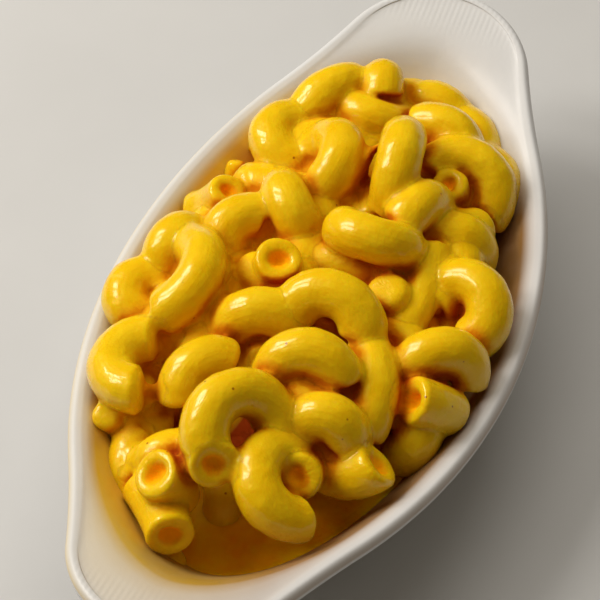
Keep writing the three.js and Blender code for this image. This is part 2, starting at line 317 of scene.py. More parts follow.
# Each elbow's middle line by three points in millimetres: one end, the middle of its bend and the other end.
# Then, where they aren't as usual, the tube's radius and the depth of its bores, 0 where the ends are closed.
ELBOWS = [
    # the far end, against the wall
    ((48, 23, 32), (53, 20, 38), (61, 15, 36)),
    ((59, 7, 37), (62, 8, 38), (65, 9, 34)),
    ((56, 14, 34), (52, 6, 36), (59, 2, 30), 4.6, 3.2),
    ((47, 22, 33), (36, 26, 36), (34, 18, 33)),
    ((66, 2, 29), (67, -6, 31), (65, -11, 27)),
    ((55, -4, 35), (55, -11, 37), (51, -17, 32)),
    # behind the middle
    ((36, 16, 34), (36, 8, 43), (26, 9, 38)),
    ((22, 17, 38), (16, 13, 41), (15, 9, 33)),
    ((8, 9, 30), (9, 1, 34), (11, -12, 30)),
    ((43, -10, 34), (48, -21, 36), (38, -26, 28), TUBE_RADIUS, 0),
    ((37, -17, 38), (39, -18, 32), (43, -19, 26), 4.3, 2.5),
    ((24, -18, 33), (27, -25, 35), (26, -28, 28)),
    ((44, -4, 41), (29, -7, 44), (27, -7, 38)),
    ((31, -15, 32), (26, -14, 42), (20, -12, 40), TUBE_RADIUS, 0),
    ((14, 0, 41), (11, -9, 44), (16, -15, 38)),
    ((13, -26, 35), (9, -37, 36), (2, -33, 29)),
    ((20, -20, 36), (9, -22, 35), (-2, -21, 33), 4.2),
    # the left side
    ((33, 33, 30), (32, 33, 28), (32, 34, 24), 2.4, 0),
    ((18, 28, 37), (18, 31, 32), (18, 37, 26), 4.6, 3),
    ((2, 23, 32), (10, 24, 38), (14, 19, 37)),
    ((5, 31, 32), (-1, 35, 37), (-5, 34, 31)),
    ((0, 30, 37), (-9, 23, 42), (-20, 28, 37)),
    ((-8, 34, 31), (-14, 40, 33), (-18, 33, 30)),
    ((-24, 27, 35), (-34, 34, 35), (-41, 23, 38), TUBE_RADIUS, 0),
    ((-46, 30, 33), (-45, 30, 31), (-42, 28, 25), 3.4, 0),
    # sunk elbows and banks of sauce that close the gaps along the sides
    ((-30, 30, 24), (-38, 27, 26), (-42, 18, 24), TUBE_RADIUS, 0),
    ((16, -20, 26), (10, -27, 27), (4, -31, 25), TUBE_RADIUS, 0),
    ((-62, 10, 21), (-49, 22, 22), (-31, 30, 22), 4.0, 0),
    ((-60, 15, 21), (-65, 10, 20), (-67, 5, 16), 3.8, 0),
    # the middle
    ((-38, 16, 34), (-32, 16, 39), (-26, 10, 36), TUBE_RADIUS, 0),
    ((-1, 9, 43), (1, 10, 36), (4, 10, 28), 5.2),
    ((-17, 14, 34), (-14, 10, 40), (-12, 1, 37)),
    ((-12, 2, 37), (-6, -4, 44), (-11, -15, 38)),
    ((-28, -1, 38), (-23, -7, 45), (-24, -15, 40)),
    ((-52, 4, 41), (-40, 4, 46), (-39, -7, 36), TUBE_RADIUS, 0),
    ((-55, 1, 42), (-50, 5, 38), (-44, 9, 33)),
    ((-36, -11, 35), (-34, -14, 40), (-35, -20, 34)),
    ((-25, -4, 36), (-31, -9, 37), (-29, -17, 36), TUBE_RADIUS, 0),
    ((-12, -16, 36), (-22, -22, 37), (-30, -22, 32)),
    ((2, -15, 40), (3, -16, 35), (5, -17, 28), 5.1, 0),
    # the right side
    ((-13, -26, 33), (-8, -31, 39), (-7, -37, 30)),
    ((-22, -30, 38), (-19, -34, 34), (-16, -37, 29), TUBE_RADIUS, 3),
    ((-19, -32, 29), (-25, -32, 27), (-24, -29, 21)),
    ((-36, -13, 27), (-40, -23, 30), (-38, -29, 35), TUBE_RADIUS, 2),
    # the near end
    ((-41, -12, 33), (-54, -8, 38), (-54, -18, 31), 5.1),
    ((-48, -15, 36), (-44, -14, 32), (-38, -12, 27), 4.9, 2.2),
    ((-59, 12, 39), (-57, 10, 34), (-56, 9, 27), 5.3),
    ((-67, 5, 30), (-61, 10, 28), (-55, 17, 27)),
    ((-45, 23, 26), (-52, 22, 25), (-56, 16, 20)),
    ((-47, 11, 32), (-51, 15, 33), (-52, 18, 28), 4.4),
    ((-42, 5, 13), (-49, 2, 17), (-50, 2, 12), 4.4, 0),
]

# The elbows against the far wall, out of sight behind the heap, in a row by their headings.
BACK_HEADINGS = [-42, -22, 0, 25, 48]
BACK_ROW = (50, 27, 26)  # half length and half width of the row, and its height
BACK_BEND = 9
BACK_HALF_SWEEP = math.radians(62)
BACK_TIP = math.radians(20)


def back_elbow(heading):
    turn = math.radians(heading)
    half_length, half_width, z = BACK_ROW
    centre = Vector((CORE_MIDDLE_X + half_length * math.cos(turn), half_width * math.sin(turn), z))
    outward = Vector((
        math.cos(turn) * math.cos(BACK_TIP), math.sin(turn) * math.cos(BACK_TIP), math.sin(BACK_TIP),
    ))
    sideways = Vector((-math.sin(turn), math.cos(turn), 0))
    ends = [
        centre + BACK_BEND * (
            outward * math.cos(BACK_HALF_SWEEP) + sideways * math.sin(side * BACK_HALF_SWEEP)
        )
        for side in (1, -1)
    ]
    return ends[0], centre + BACK_BEND * outward, ends[1]


def circle_through(start, middle, end):
    """The bend's radius and sweep, and the matrix that takes a bend about Z, back on +X, to the points."""
    a, b = start - end, middle - end
    axis = a.cross(b)
    centre = end + (b * a.length_squared - a * b.length_squared).cross(axis) / (2 * axis.length_squared)
    back = (start - centre).normalized()
    axis.normalize()
    across = axis.cross(back)
    sweep = math.atan2((end - centre).dot(across), (end - centre).dot(back)) % (2 * math.pi)
    middle_back = back * math.cos(sweep / 2) + across * math.sin(sweep / 2)
    turn = Matrix((middle_back, axis.cross(middle_back), axis)).transposed().to_4x4()
    return (start - centre).length, sweep, Matrix.Translation(centre * MM) @ turn


def make_elbow(bend, sweep, tube, bore):
    """A tube bent about the Z axis, its back on +X, with a bore in from each end."""
    deselect_all()
    bpy.ops.mesh.primitive_circle_add(
        vertices=TUBE_SIDES, radius=tube * MM, fill_type="NGON",
        location=(bend * MM, 0, 0), rotation=(math.pi / 2, 0, 0),
    )
    elbow = bpy.context.object
    settle(elbow)
    bpy.ops.object.mode_set(mode="EDIT")
    bpy.ops.mesh.select_all(action="SELECT")
    steps = max(LEAST_STEPS, round(math.degrees(sweep) / DEGREES_PER_STEP))
    bpy.ops.mesh.spin(steps=steps, angle=sweep, center=(0, 0, 0), axis=(0, 0, 1))
    bpy.ops.mesh.select_all(action="SELECT")
    bpy.ops.mesh.normals_make_consistent(inside=False)
    # the two end faces are the only ones with this many sides
    mesh = bmesh.from_edit_mesh(elbow.data)
    middles = [face.calc_center_median() for face in mesh.faces if len(face.verts) == TUBE_SIDES]
    for middle in middles:
        pick_end(elbow, middle)
        rounding = (END_ROUNDING if bore else CLOSED_ROUNDING) * min(1, tube / TUBE_RADIUS)
        bpy.ops.mesh.bevel(offset=rounding * MM, segments=ROUNDING_SEGMENTS, affect="EDGES")
        if not bore:
            continue
        pick_end(elbow, middle)
        bpy.ops.mesh.inset(thickness=(tube * (1 - BORE_SHARE) - rounding) * MM)
        bpy.ops.transform.resize(value=(1, 1, BORE_SQUASH), center_override=middle)
        bpy.ops.mesh.inset(thickness=BORE_EDGE * MM, depth=-BORE_EDGE * MM)
        bpy.ops.mesh.inset(thickness=BORE_TAPER * MM, depth=(BORE_EDGE - bore) * MM)
    bpy.ops.object.mode_set(mode="OBJECT")
    middle = sum((vertex.co for vertex in elbow.data.vertices), Vector())
    elbow.data.transform(Matrix.Rotation(-math.atan2(middle.y, middle.x), 4, "Z"))
    return elbow


def pick_end(elbow, middle):
    """Selects the end face nearest to a point, and nothing else."""
    bpy.ops.mesh.select_all(action="DESELECT")
    mesh = bmesh.from_edit_mesh(elbow.data)
    ends = [face for face in mesh.faces if len(face.verts) == TUBE_SIDES]
    min(ends, key=lambda face: (face.calc_center_median() - middle).length).select_set(True)
    bmesh.update_edit_mesh(elbow.data)


CORE_MIDDLE_X, CORE_MIDDLE_Y = 10, 2
CORE_HALF_LENGTH = 57
CORE_HALF_WIDTH = 36.5
CORE_HEIGHT = 17.5
CORE_FULLNESS = 0.5
CORE_SUNK = 2.5  # below the sauce around it
CORE_CLEAR = 3  # of the wall
CORE_CLIMB = 88  # degrees up the curve of its side, to the small flat top
CORE_RINGS = 16
CORE_STATIONS = 96

LOWER_SEED = 7
LOWER_ROWS, LOWER_FILES = range(-6, 6), range(-3, 4)  # along and across
LOWER_SPACING = 11.5
LOWER_STRAY = 3  # off the even spacing
LOWER_ROLL = 0.5
LOWER_SUNK = 2
LOWER_BEND = 7
LOWER_HALF_SWEEP = math.radians(60)
LOWER_REACH = 0.9  # of the core's plan
OPEN_HOLLOW, OPEN_RADIUS = (-35, 3), 9  # where the lower layer leaves a deep hollow


def core_reach(x, y):
    """How far out on the core's plan a point lies, 1 at its edge."""
    return math.hypot((x - CORE_MIDDLE_X) / CORE_HALF_LENGTH, (y - CORE_MIDDLE_Y) / CORE_HALF_WIDTH)


def core_top(x, y):
    climb = math.sqrt(max(0, 1 - core_reach(x, y) ** (2 / CORE_FULLNESS)))
    return SAUCE_LEVEL / MM + CORE_HEIGHT * climb


def lower_elbows():
    """A layer of elbows half sunk in the core, which shows between those on top."""
    draw = random.Random(LOWER_SEED)
    elbows = []
    for i in LOWER_ROWS:
        for j in LOWER_FILES:
            # every other file lies half a spacing further along
            x = CORE_MIDDLE_X + (i + 0.5 * (j % 2)) * LOWER_SPACING + draw.uniform(-LOWER_STRAY, LOWER_STRAY)
            y = CORE_MIDDLE_Y + j * LOWER_SPACING + draw.uniform(-LOWER_STRAY, LOWER_STRAY)
            turn, roll = draw.uniform(0, 2 * math.pi), draw.uniform(-LOWER_ROLL, LOWER_ROLL)
            if core_reach(x, y) > LOWER_REACH or math.dist((x, y), OPEN_HOLLOW) < OPEN_RADIUS:
                continue
            back = Vector((math.cos(turn), math.sin(turn), roll)).normalized()
            across = Vector((-math.sin(turn), math.cos(turn), 0))
            centre = Vector((x, y, core_top(x, y) - LOWER_SUNK))
            ends = [
                centre + LOWER_BEND * (
                    back * math.cos(LOWER_HALF_SWEEP) + side * across * math.sin(LOWER_HALF_SWEEP)
                )
                for side in (1, -1)
            ]
            elbows.append((ends[0], centre + LOWER_BEND * back, ends[1]))
    return elbows


def wall_half_width(z):
    """The basin's half width in millimetres at a height."""
    levels = sorted((level[2], level[1]) for level in INNER_WALL)
    return float(np.interp(z, [height for height, _ in levels], [width for _, width in levels]))


def make_core():
    """The mound under the elbows: the hidden pasta with the sauce between it."""
    rings = []
    for i in range(CORE_RINGS + 1):
        climb = math.radians(CORE_CLIMB * i / CORE_RINGS)
        share = math.cos(climb) ** CORE_FULLNESS
        z = SAUCE_LEVEL / MM - CORE_SUNK + (CORE_HEIGHT + CORE_SUNK) * math.sin(climb)
        half_width = min(CORE_HALF_WIDTH * share, wall_half_width(z) - CORE_CLEAR)
        rings.append([
            Vector((
                CORE_MIDDLE_X + CORE_HALF_LENGTH * share * math.cos(2 * math.pi * k / CORE_STATIONS),
                CORE_MIDDLE_Y + half_width * math.sin(2 * math.pi * k / CORE_STATIONS),
                z,
            )) * MM
            for k in range(CORE_STATIONS)
        ])
    return ring_stack("core", rings)


def copy_of(piece):
    twin = piece.copy()
    twin.data = piece.data.copy()
    bpy.context.scene.collection.objects.link(twin)
    return twin


def grow(piece, distance, steps, voxel):
    """Moves the surface out, or in where the distance is negative, and mends it after each step."""
    for _ in range(steps):
        apply_modifier(piece, "DISPLACE", strength=distance / steps, mid_level=0)
        apply_modifier(piece, "REMESH", mode="VOXEL", voxel_size=voxel)
        piece = keep_largest_part(piece, piece.name)
        apply_modifier(piece, "SMOOTH", factor=SMOOTH_FACTOR, iterations=SAUCE_SMOOTHING)
    return piece


def coat_over(heap, reach, depth):
    """The heap with its gaps closed, then drawn in to stay a depth below the elbows' backs."""
    coat = copy_of(heap)
    coat.name = "coat"
    apply_modifier(coat, "REMESH", mode="VOXEL", voxel_size=SAUCE_VOXEL)
    coat = grow(coat, reach, SAUCE_STEPS, SAUCE_VOXEL)
    return grow(coat, -reach - depth, 2 * SAUCE_STEPS, SAUCE_VOXEL)


def add_sauce(heap):
    """Sauce that fills the narrow gaps between the elbows, up to a little below their backs."""
    coat = coat_over(heap, SAUCE_REACH, SAUCE_DEPTH)
    rich = coat_over(heap, RICH_REACH, RICH_DEPTH)
    pick(rich)
    bpy.ops.object.mode_set(mode="EDIT")
    bpy.ops.mesh.select_all(action="SELECT")
    bpy.ops.mesh.bisect(plane_co=(0, RICH_FROM, 0), plane_no=RICH_FACING, use_fill=True, clear_inner=True)
    bpy.ops.object.mode_set(mode="OBJECT")
    heap = join([heap, coat, rich], "macaroni_heap")
    apply_modifier(heap, "REMESH", mode="VOXEL", voxel_size=VOXEL)
    return keep_largest_part(heap, "macaroni_heap")


def make_heap():
    parts = [make_core()]
    tubes = []
    elbows = list(ELBOWS)
    elbows += [back_elbow(heading) for heading in BACK_HEADINGS]
    elbows += lower_elbows()
    for start, middle, end, *more in elbows:
        tube = more[0] if more else TUBE_RADIUS
        bore = more[1] if len(more) > 1 else BORE_DEPTH
        bend, sweep, matrix = circle_through(Vector(start), Vector(middle), Vector(end))
        bend = max(bend - INWARD, LEAST_BEND)
        elbow = make_elbow(bend, sweep, tube, bore)
        elbow.data.transform(matrix)
        parts.append(elbow)
        tubes.append((bend * MM, sweep, tube * MM, matrix, bore > 0))
    heap = join(parts, "macaroni_heap")
    apply_modifier(heap, "REMESH", mode="VOXEL", voxel_size=VOXEL)
    heap = keep_largest_part(heap, "macaroni_heap")
    heap = add_sauce(heap)
    apply_modifier(heap, "DISPLACE", strength=FILLET, mid_level=0)
    apply_modifier(heap, "REMESH", mode="VOXEL", voxel_size=VOXEL)
    apply_modifier(heap, "DISPLACE", strength=-FILLET, mid_level=0)
    apply_modifier(heap, "SMOOTH", factor=SMOOTH_FACTOR, iterations=HEAP_SMOOTHING)
    for size, height in LUMPS:
        lumps = bpy.data.textures.new("lumps", "CLOUDS")
        lumps.noise_scale = size
        apply_modifier(heap, "DISPLACE", texture=lumps, texture_coords="LOCAL", strength=height)
    heap = keep_largest_part(heap, "macaroni_heap")
    triangles = 2 * len(heap.data.polygons)
    if triangles > HEAP_TRIANGLES:
        apply_modifier(heap, "DECIMATE", ratio=HEAP_TRIANGLES / triangles)
    pick(heap)
    bpy.ops.object.shade_smooth()
    measure_creases(heap)
    measure_tubes(heap, tubes)
    return heap


ELBOW_STEP = 37  # keeps the patterns of two elbows apart
FILL_MOST = 8


def measure_tubes(piece, tubes):
    """Writes each point's place on the nearest elbow, as "grain", and its distance from it, as "fill".

    The place is across its tube twice and then along it. The distance is below zero in the bores. Both are in
    millimetres.
    """
    mesh = piece.data
    points = np.empty(3 * len(mesh.vertices))
    mesh.vertices.foreach_get("co", points)
    points = points.reshape(-1, 3)
    nearest = np.full(len(points), np.inf)
    grain = np.zeros_like(points)
    for i, (bend, sweep, tube, matrix, is_open) in enumerate(tubes):
        back = np.array(matrix.inverted())
        local = points @ back[:3, :3].T + back[:3, 3]
        angle = np.arctan2(local[:, 1], local[:, 0]).clip(-sweep / 2, sweep / 2)
        out = local[:, 0] * np.cos(angle) + local[:, 1] * np.sin(angle) - bend
        past = local[:, 1] * np.cos(angle) - local[:, 0] * np.sin(angle)
        gap = np.sqrt(out**2 + past**2 + local[:, 2] ** 2) - tube
        if not is_open:
            gap = np.maximum(gap, 0)
        closer = gap < nearest
        nearest[closer] = gap[closer]
        around = np.arctan2(local[:, 2], out)
        places = np.stack((tube * np.cos(around), tube * np.sin(around), angle * bend + past), axis=1)
        grain[closer] = places[closer] / MM + ELBOW_STEP * i
    attribute = mesh.attributes.new("grain", "FLOAT_VECTOR", "POINT")
    attribute.data.foreach_set("vector", grain.ravel())
    fill = (nearest / MM).clip(-FILL_MOST, FILL_MOST)
    attribute = mesh.attributes.new("fill", "FLOAT", "POINT")
    attribute.data.foreach_set("value", fill.astype(np.float32))


CREASE_REACH = 7 * MM
CREASE_RAYS = 14
CREASE_LIFT = 0.1  # off the surface, in millimetres
CREASE_SMOOTHING = 4


def measure_creases(piece):
    """Writes how deep each point lies between its neighbours, as "crease": 0 in the open, 1 in a hollow."""
    mesh = piece.data
    tree = BVHTree.FromObject(piece, bpy.context.evaluated_depsgraph_get())
    golden = math.pi * (3 - math.sqrt(5))
    rays = []
    for k in range(CREASE_RAYS):
        height = math.sqrt(1 - (k + 0.5) / CREASE_RAYS)
        aside = math.sqrt(1 - height * height)
        rays.append(Vector((aside * math.cos(golden * k), aside * math.sin(golden * k), height)))
    depth = np.zeros(len(mesh.vertices))
    for vertex in mesh.vertices:
        turn = vertex.normal.to_track_quat("Z", "Y").to_matrix()
        start = vertex.co + vertex.normal * CREASE_LIFT * MM
        blocked = 0
        for ray in rays:
            *_, distance = tree.ray_cast(start, turn @ ray, CREASE_REACH)
            if distance is not None:
                blocked += 1 - distance / CREASE_REACH
        depth[vertex.index] = blocked / CREASE_RAYS
    ends = np.empty(2 * len(mesh.edges), dtype=np.int64)
    mesh.edges.foreach_get("vertices", ends)
    a, b = ends[::2], ends[1::2]
    neighbours = np.bincount(ends, minlength=len(depth))
    for _ in range(CREASE_SMOOTHING):
        total = np.bincount(a, depth[b], len(depth)) + np.bincount(b, depth[a], len(depth))
        depth = 0.5 * depth + 0.5 * total / np.maximum(neighbours, 1)
    attribute = mesh.attributes.new("crease", "FLOAT", "POINT")
    attribute.data.foreach_set("value", depth.astype(np.float32))


# ---------------------------------------------------------------- sauce

# Half length, half width and height in millimetres, and the share of the tips' rise, as for the dish's walls.
POOL_WALL = [(30, 12, 4.6, 0), (48, 23.5, 4.6, 0), (57.5, 30, 8.1, 0), (65.1, 35.1, 17.1, 0)]
# The sauce climbs the wall a little.
POOL_TOP = [(66.6, 36, 18.3, 0), (65.4, 35.2, 17.8, 0), (64.2, 34.4, 17.35, 0), (62.6, 33.4, 17.08, 0),
            (60, 32, 17, 0), (40, 21, 17, 0), (20, 10, 17, 0)]
POOL_STEPS = 3


def make_pool():
    rings = [wall_ring(*level) for level in POOL_WALL + POOL_TOP]
    return ring_stack("sauce_pool", smooth_between(rings, POOL_STEPS))


# ---------------------------------------------------------------- materials


def add(tree, kind, inputs=None, **settings):
    """A node with its settings, and its inputs set to values or linked to other nodes' outputs."""
    node = tree.nodes.new(kind)
    for key, value in settings.items():
        setattr(node, key, value)
    for key, value in (inputs or {}).items():
        if isinstance(value, bpy.types.NodeSocket):
            tree.links.new(value, node.inputs[key])
        else:
            node.inputs[key].default_value = value
    return node


def new_group(name, inputs, outputs):
    """A node group: its sockets with their defaults, its tree and its input and output nodes."""
    tree = bpy.data.node_groups.new(name, "ShaderNodeTree")
    for label, default in inputs.items():
        socket = tree.interface.new_socket(label, in_out="INPUT", socket_type="NodeSocketFloat")
        socket.default_value = default
    for label, kind in outputs.items():
        tree.interface.new_socket(label, in_out="OUTPUT", socket_type=kind)
    return tree, tree.nodes.new("NodeGroupInput"), tree.nodes.new("NodeGroupOutput")


def patches_group():
    """Soft patches: a mask from 0 to 1, with patches of the size given in millimetres."""
    tree, given, result = new_group("soft_patches", {"Size": 8, "Contrast": 0.3}, {"Mask": "NodeSocketFloat"})
    place = add(tree, "ShaderNodeTexCoord")
    scale = add(tree, "ShaderNodeMath", {0: 1 / MM, 1: given.outputs["Size"]}, operation="DIVIDE")
    noise = add(tree, "ShaderNodeTexNoise", {
        "Vector": place.outputs["Object"], "Scale": scale.outputs[0], "Detail": 3, "Roughness": 0.6,
    })
    low = add(tree, "ShaderNodeMath", {0: 0.5, 1: given.outputs["Contrast"]}, operation="SUBTRACT")
    high = add(tree, "ShaderNodeMath", {0: 0.5, 1: given.outputs["Contrast"]}, operation="ADD")
    mask = add(tree, "ShaderNodeMapRange", {
        "Value": noise.outputs["Fac"], "From Min": low.outputs[0], "From Max": high.outputs[0],
    })
    tree.links.new(mask.outputs["Result"], result.inputs["Mask"])
    return tree


def relief_group():
    """Fine lumps of the size given in millimetres, as a normal."""
    tree, given, result = new_group("fine_relief", {"Size": 1, "Depth": 0.1}, {"Normal": "NodeSocketVector"})
    place = add(tree, "ShaderNodeTexCoord")
    scale = add(tree, "ShaderNodeMath", {0: 1 / MM, 1: given.outputs["Size"]}, operation="DIVIDE")
    noise = add(tree, "ShaderNodeTexNoise", {
        "Vector": place.outputs["Object"], "Scale": scale.outputs[0], "Detail": 4, "Roughness": 0.55,
    })
    depth = add(tree, "ShaderNodeMath", {0: given.outputs["Depth"], 1: MM}, operation="MULTIPLY")
    bump = add(tree, "ShaderNodeBump", {"Height": noise.outputs["Fac"], "Distance": depth.outputs[0]})
    tree.links.new(bump.outputs["Normal"], result.inputs["Normal"])
    return tree


PATCHES = patches_group()
RELIEF = relief_group()


def patches(tree, size, contrast):
    """A mask of soft patches, their size in millimetres."""
    group = add(tree, "ShaderNodeGroup", {"Size": size, "Contrast": contrast}, node_tree=PATCHES)
    return group.outputs["Mask"]


def relief(tree, size, depth):
    """A normal with fine lumps, their size and depth in millimetres."""
    group = add(tree, "ShaderNodeGroup", {"Size": size, "Depth": depth}, node_tree=RELIEF)
    return group.outputs["Normal"]


def blend(tree, mask, first, second):
    """The first colour where the mask is 0 and the second where it is 1."""
    mix = add(tree, "ShaderNodeMix", {"Factor": mask, "A": first, "B": second}, data_type="RGBA")
    return mix.outputs["Result"]


def measured(tree, name):
    """A value that was written on the piece's points."""
    return add(tree, "ShaderNodeAttribute", attribute_name=name).outputs["Fac"]


def product(tree, *masks):
    total = masks[0]
    for mask in masks[1:]:
        total = add(tree, "ShaderNodeMath", {0: total, 1: mask}, operation="MULTIPLY").outputs[0]
    return total


def both(tree, first, second):
    """The sum of two values."""
    return add(tree, "ShaderNodeMath", {0: first, 1: second}, operation="ADD").outputs[0]


def spread(tree, value, low, high, to_low=0.0, to_high=1.0):
    """A value from low to high taken to the range from to_low to to_high, and held at its ends."""
    mapped = add(tree, "ShaderNodeMapRange", {
        "Value": value, "From Min": low, "From Max": high, "To Min": to_low, "To Max": to_high,
    })
    return mapped.outputs["Result"]


def new_material(name):
    material = bpy.data.materials.new(name)
    material.use_nodes = True
    tree = material.node_tree
    tree.nodes.clear()
    output = tree.nodes.new("ShaderNodeOutputMaterial")
    shader = tree.nodes.new("ShaderNodeBsdfPrincipled")
    tree.links.new(shader.outputs["BSDF"], output.inputs["Surface"])
    return material, tree, shader


def set_evenly(shader, values):
    """Sets what is the same all over the surface on the shader's own sockets."""
    for socket, value in values.items():
        shader.inputs[socket].default_value = value


def dress(piece, material):
    piece.data.materials.clear()
    piece.data.materials.append(material)


PEPPER_APART = 3.2 * MM
PEPPER_DOT = (0.07, 0.11)  # where a grain's dark middle ends and where its edge does
PEPPER_BARE = 0.86  # the share of the places that have no grain


def pepper(tree):
    """A few tiny dark grains, far apart."""
    place = add(tree, "ShaderNodeTexCoord")
    cells = add(tree, "ShaderNodeTexVoronoi", {"Vector": place.outputs["Object"], "Scale": 1 / PEPPER_APART})
    dot = spread(tree, cells.outputs["Distance"], *PEPPER_DOT, 1, 0)
    chance = add(tree, "ShaderNodeSeparateColor", {"Color": cells.outputs["Color"]})
    few = add(tree, "ShaderNodeMath", {0: chance.outputs["Red"], 1: PEPPER_BARE}, operation="GREATER_THAN")
    return product(tree, dot, few.outputs[0])


STREAK_WIDTH, STREAK_LENGTH = 1.1, 9.0  # in millimetres
STREAK_DEPTH = 0.11 * MM


def streaks(tree):
    """Fine lines along each elbow, as a height."""
    grain = add(tree, "ShaderNodeAttribute", attribute_name="grain").outputs["Vector"]
    scale = (1 / STREAK_WIDTH, 1 / STREAK_WIDTH, 1 / STREAK_LENGTH)
    stretched = add(tree, "ShaderNodeVectorMath", {0: grain, 1: scale}, operation="MULTIPLY")
    noise = add(tree, "ShaderNodeTexNoise", {"Vector": stretched.outputs[0], "Scale": 1, "Detail": 2})
    return noise.outputs["Fac"]


WRINKLE_PULL = (1 / 5.0, 1 / 0.9, 1 / 3.0)  # across the dish they lie close, per millimetre
WRINKLE_DEPTH = 0.8 * MM
# How far off the elbows, in millimetres, they rise and fade again.
WRINKLES_RISE, WRINKLES_FADE = (0.1, 1.0), (1.5, 2.5)


def wrinkles(tree):
    """Folds and strings where the sauce is stretched between the elbows, as a height."""
    place = add(tree, "ShaderNodeTexCoord").outputs["Object"]
    scale = tuple(share / MM for share in WRINKLE_PULL)
    stretched = add(tree, "ShaderNodeVectorMath", {0: place, 1: scale}, operation="MULTIPLY")
    noise = add(tree, "ShaderNodeTexNoise", {
        "Vector": stretched.outputs[0], "Scale": 1, "Detail": 3, "Distortion": 0.6,
    })
    fill = measured(tree, "fill")
    return product(
        tree, noise.outputs["Fac"],
        spread(tree, fill, *WRINKLES_RISE),
        spread(tree, fill, *WRINKLES_FADE, 1, 0),
    )


COAT_GOLD, COAT_YELLOW = (0.84, 0.50, 0.002, 1), (0.90, 0.60, 0.008, 1)
COAT_STREAK = (0.78, 0.42, 0.001, 1)
# Painted shade: orange in the creases between the elbows, dark red in the deepest, and dark red on the sauce
# in the hollows below them.
CREASE_SHADE_AMBER, CREASE_DEEP_SHADE = (0.66, 0.24, 0.0, 1), (0.40, 0.055, 0.0, 1)
HOLLOW_SHADE_RED = (0.36, 0.035, 0.0, 1)
BORE_ORANGE = (1.0, 0.42, 0.0, 1)
PEPPER_BROWN = (0.42, 0.14, 0.004, 1)
STREAK_BAND, STREAK_STRENGTH = (0.40, 0.70), 0.16
# How deep in the creases each of these starts and is full; the first two are the painted shade, orange and
# then dark red.
CREASE_SHADE_BAND, CREASE_DEEP_SHADE_BAND = (0.07, 0.22), (0.18, 0.38)
DULL_BAND, DULL_BY = (0.05, 0.22), 0.65
WET_BAND, WET_COAT = (0.04, 0.15), 0.5
# How far off the elbows, in millimetres, the painted shade on the sauce below them starts and is full, and
# how deep in a tube its own sauce lies.
HOLLOW_BAND, HOLLOW_DULL_BY = (1.8, 3.0), 0.4
BORE_BAND = (-3.4, -2.4)
COAT_ROUGHNESS = (0.22, 0.36)
COAT_PATCHES, SMEAR_PATCHES = (7, 0.22), (4, 0.25)
COAT_RELIEF = (1.1, 0.14)


def sauce_coat():
    """Pasta under its coat of sauce: yellow backs with fine streaks, with painted shade in the creases and on
    the sauce in the hollows.
    """
    material, tree, shader = new_material("sauce_coated_pasta")
    crease, fill = measured(tree, "crease"), measured(tree, "fill")
    backs = blend(tree, patches(tree, *COAT_PATCHES), COAT_GOLD, COAT_YELLOW)
    lined = blend(tree, spread(tree, streaks(tree), *STREAK_BAND, 0, STREAK_STRENGTH), backs, COAT_STREAK)
    # painted shade in the creases, orange and then dark red the deeper they lie
    crease_shade = blend(tree, spread(tree, crease, *CREASE_SHADE_BAND), lined, CREASE_SHADE_AMBER)
    deep_crease_shade = blend(tree, spread(tree, crease, *CREASE_DEEP_SHADE_BAND), crease_shade, CREASE_DEEP_SHADE)
    # painted shade: the sauce far below the elbows, out of the light, is painted dark red
    below = blend(tree, spread(tree, fill, *HOLLOW_BAND), deep_crease_shade, HOLLOW_SHADE_RED)
    bores = blend(tree, spread(tree, fill, *BORE_BAND, 1, 0), below, BORE_ORANGE)
    peppered = blend(tree, pepper(tree), bores, PEPPER_BROWN)
    tree.links.new(peppered, shader.inputs["Base Color"])
    smeared = spread(tree, patches(tree, *SMEAR_PATCHES), 0, 1, *COAT_ROUGHNESS)
    dull = both(tree, smeared, spread(tree, crease, *DULL_BAND, 0, DULL_BY))
    matt = both(tree, dull, spread(tree, fill, *HOLLOW_BAND, 0, HOLLOW_DULL_BY))
    tree.links.new(matt, shader.inputs["Roughness"])
    wet = product(
        tree, spread(tree, crease, *WET_BAND, WET_COAT, 0), spread(tree, fill, *HOLLOW_BAND, 1, 0),
    )
    tree.links.new(wet, shader.inputs["Coat Weight"])
    folds = add(tree, "ShaderNodeBump", {
        "Height": wrinkles(tree), "Distance": WRINKLE_DEPTH, "Normal": relief(tree, *COAT_RELIEF),
    })
    ridges = add(tree, "ShaderNodeBump", {
        "Height": streaks(tree), "Distance": STREAK_DEPTH, "Normal": folds.outputs["Normal"],
    })
    tree.links.new(ridges.outputs["Normal"], shader.inputs["Normal"])
    set_evenly(shader, {
        "Specular Tint": (1.0, 0.82, 0.25, 1),
        "Specular IOR Level": 0.42,
        "Subsurface Weight": 0.35,
        "Subsurface Radius": (1.0, 0.40, 0.04),
        "Subsurface Scale": 2.5 * MM,
        "Coat Roughness": 0.06,
    })
    return material


POOL_ORANGE, POOL_GOLD = (0.94, 0.38, 0.0, 1), (1.0, 0.64, 0.001, 1)
POOL_ROUGHNESS = (0.12, 0.24)
POOL_PATCHES, POOL_SMEARS = (14, 0.16), (5, 0.25)
POOL_RELIEF = (4, 0.5)


def sauce():
    """The loose sauce in the pool, smoother and more orange than the coat."""
    material, tree, shader = new_material("cheese_sauce")
    colour = blend(tree, patches(tree, *POOL_PATCHES), POOL_ORANGE, POOL_GOLD)
    tree.links.new(colour, shader.inputs["Base Color"])
    smeared = spread(tree, patches(tree, *POOL_SMEARS), 0, 1, *POOL_ROUGHNESS)
    tree.links.new(smeared, shader.inputs["Roughness"])
    tree.links.new(relief(tree, *POOL_RELIEF), shader.inputs["Normal"])
    set_evenly(shader, {
        "Subsurface Weight": 0.3,
        "Subsurface Radius": (1.0, 0.35, 0.03),
        "Subsurface Scale": 2 * MM,
    })
    return material


